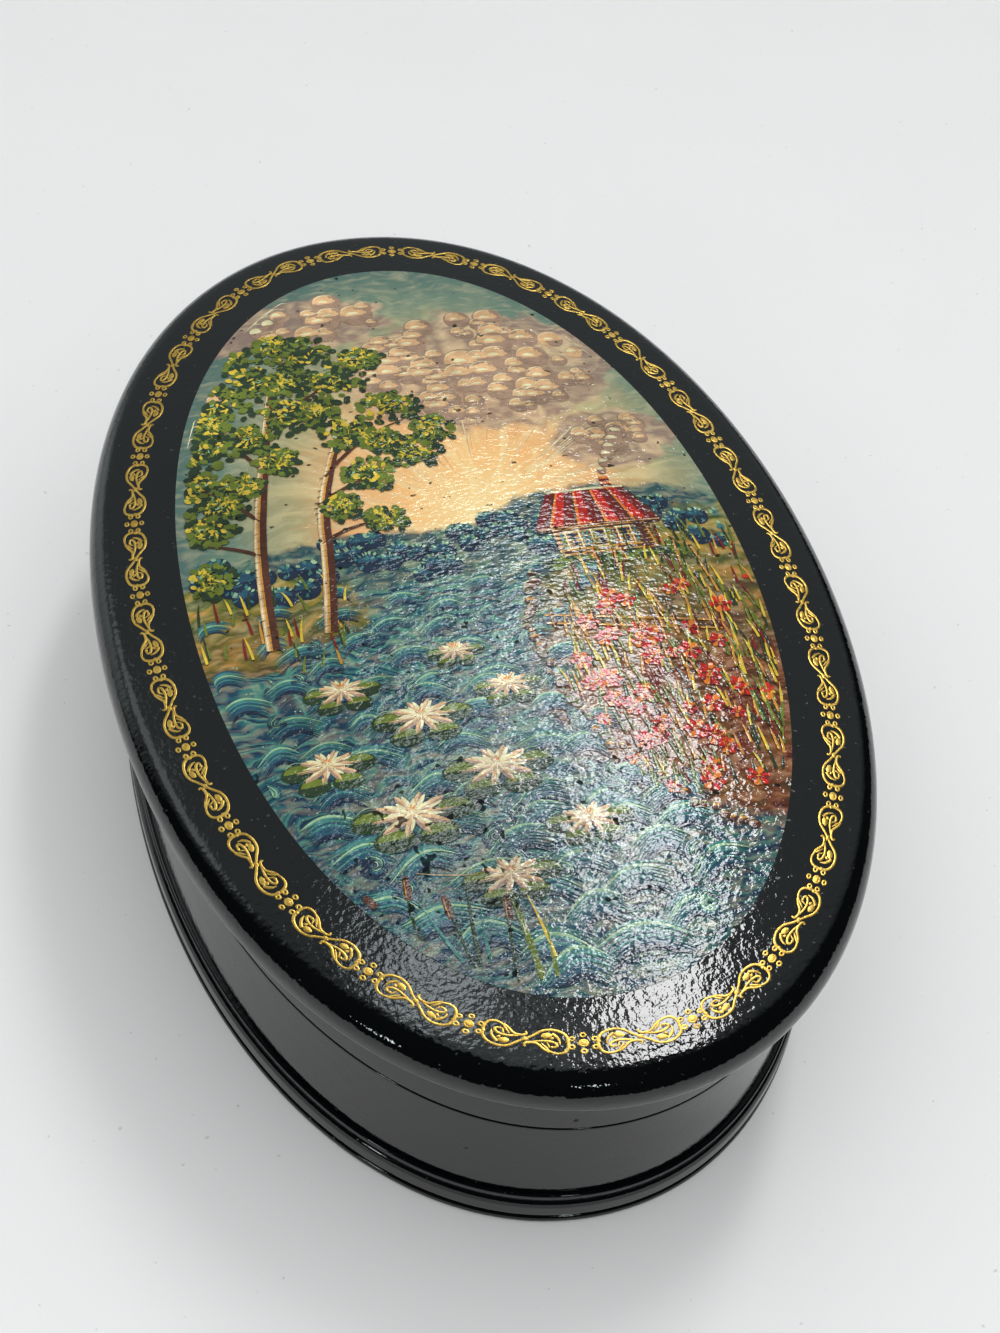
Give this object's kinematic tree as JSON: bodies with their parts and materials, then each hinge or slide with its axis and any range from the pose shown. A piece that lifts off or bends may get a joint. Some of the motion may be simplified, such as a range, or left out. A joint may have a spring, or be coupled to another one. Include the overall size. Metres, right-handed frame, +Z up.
{
  "type": "oval lacquer box",
  "caption": "Oval black lacquer keepsake box with a low-domed hinged lid painted with a landscape inside a gold scroll border, on a stepped plinth.",
  "frame": {"origin": "on the table, under the middle of the oval", "axes": "+Z up, +Y along the length of the oval towards the top of the picture, +X across it; the hinge is on the -X side"},
  "size_m": [0.0962, 0.15, 0.0402],
  "materials": {
    "black_lacquer": "black lacquer, polished to a deep gloss over papier-mache",
    "red_lacquer": "red lacquer, polished, over papier-mache",
    "painting": "miniature painting in many colours under clear lacquer",
    "hinge_brass": "satin, slightly tarnished"
  },
  "bodies": {
    "body": {"body_wall": "black_lacquer", "bottom_board": "black_lacquer", "inner_liner": "red_lacquer", "plinth_moulding": "black_lacquer", "hinge_leaf_body": "hinge_brass", "hinge_pin": "hinge_brass"},
    "lid": {"lid_board": "black_lacquer", "lid_rim": "black_lacquer", "painted_ground": "painting", "hinge_leaf_lid": "hinge_brass"}
  },
  "joints": [
    {"name": "lid_hinge", "type": "hinge", "parent": "body", "child": "lid", "pos_m": [-0.04345, 0, 0.02148], "axis": [0, -1, 0], "range_deg": [0, 100]}
  ]
}
